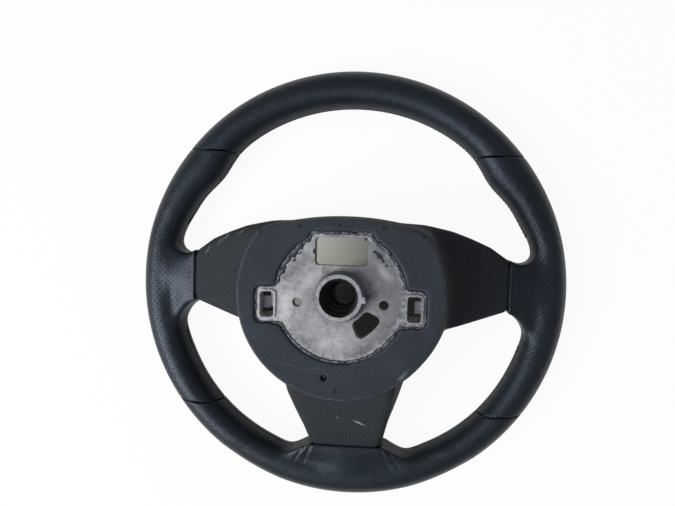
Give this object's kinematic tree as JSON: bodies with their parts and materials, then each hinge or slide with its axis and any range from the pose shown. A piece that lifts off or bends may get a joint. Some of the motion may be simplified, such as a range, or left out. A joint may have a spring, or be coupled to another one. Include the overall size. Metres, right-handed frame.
{
  "type": "car steering wheel",
  "caption": "Three-spoke car steering wheel seen from behind, with leather rim, foam-covered spokes and hub, bare cast hub plate, splined boss and airbag catches.",
  "frame": {"origin": "middle of the footprint on the plane the wheel lies on, on the axis of the hub", "axes": "+X to the right and +Y to the 12 o'clock side as seen from behind the wheel, +Z from the driver's side to the column side; the wheel lies face down on z = 0"},
  "size_m": [0.3698, 0.37, 0.1],
  "materials": {
    "cast_frame": "as-cast light alloy, dull and mottled",
    "bush_steel": "machined steel, dull",
    "foam_skin": "moulded soft foam with a fine grained skin",
    "rim_leather": "smooth fine-grained leather",
    "grip_leather": "perforated leather",
    "spring_steel": "plain spring steel"
  },
  "bodies": {
    "wheel": {"armature": "cast_frame", "splined_bush": "bush_steel", "foam_body": "foam_skin", "leather_top": "rim_leather", "leather_left": "grip_leather", "leather_right": "grip_leather", "leather_bottom": "rim_leather"},
    "catch_left": {"catch_left": "spring_steel"},
    "catch_right": {"catch_right": "spring_steel"}
  },
  "joints": [
    {"name": "catch_left_flex", "type": "hinge", "parent": "wheel", "child": "catch_left", "pos_m": [-0.0662, -0.0078, 0.068], "axis": [0, -1, 0], "range_deg": [0, 12], "stiffness_Nm_per_rad": 0.5},
    {"name": "catch_right_flex", "type": "hinge", "parent": "wheel", "child": "catch_right", "pos_m": [0.0662, -0.0078, 0.068], "axis": [0, 1, 0], "range_deg": [0, 12], "stiffness_Nm_per_rad": 0.5}
  ]
}
